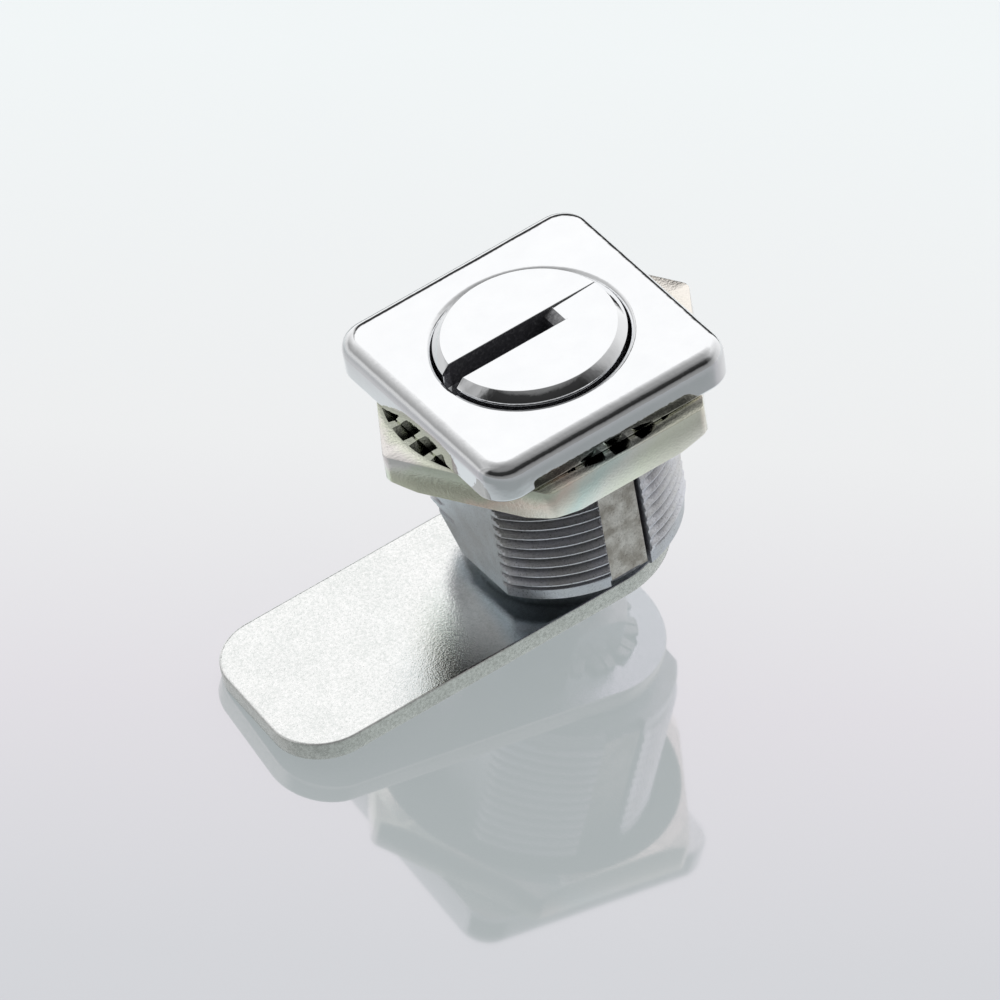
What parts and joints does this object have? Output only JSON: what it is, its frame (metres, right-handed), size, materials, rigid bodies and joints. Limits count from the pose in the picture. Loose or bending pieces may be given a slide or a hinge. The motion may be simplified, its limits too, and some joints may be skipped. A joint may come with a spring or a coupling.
{
  "type": "cabinet cam lock",
  "caption": "Quarter-turn cabinet lock with a square chromed head, slotted dial, threaded body with flats, toothed nut and flat cam.",
  "frame": {"origin": "on the lock's axis at the underside of the head, where the panel's face lies", "axes": "+Z out of the panel to the user, along the rotor's axis; +X along the cam in its locked position"},
  "size_m": [0.0425, 0.024, 0.0253],
  "materials": {
    "chromed_casting": "bright chrome on a zinc casting, duller on the threaded body",
    "chromed_rotor": "bright polished chrome",
    "seal_rubber": "matt black",
    "yellow_zinc_steel": "zinc plated with a faint yellow and green sheen",
    "zinc_steel": "dull zinc plate",
    "cam_steel": "satin zinc plate, finely mottled",
    "spring_steel": "zinc plated spring steel",
    "screw_steel": "zinc plated"
  },
  "bodies": {
    "root": {"housing": "chromed_casting"},
    "rotor": {"rotor": "chromed_rotor", "rotor_seal": "seal_rubber", "stop_washer": "zinc_steel", "cam": "cam_steel", "lock_washer": "spring_steel", "cam_screw": "screw_steel"},
    "nut": {"hex_nut": "yellow_zinc_steel"}
  },
  "joints": [
    {"name": "rotor_turn", "type": "hinge", "parent": "root", "child": "rotor", "pos_m": [0, 0, 0], "axis": [0, 0, 1], "range_deg": [0, 90]},
    {"name": "nut_travel", "type": "slide", "parent": "root", "child": "nut", "axis": [0, 0, -1], "range_m": [0, 0.01]}
  ]
}
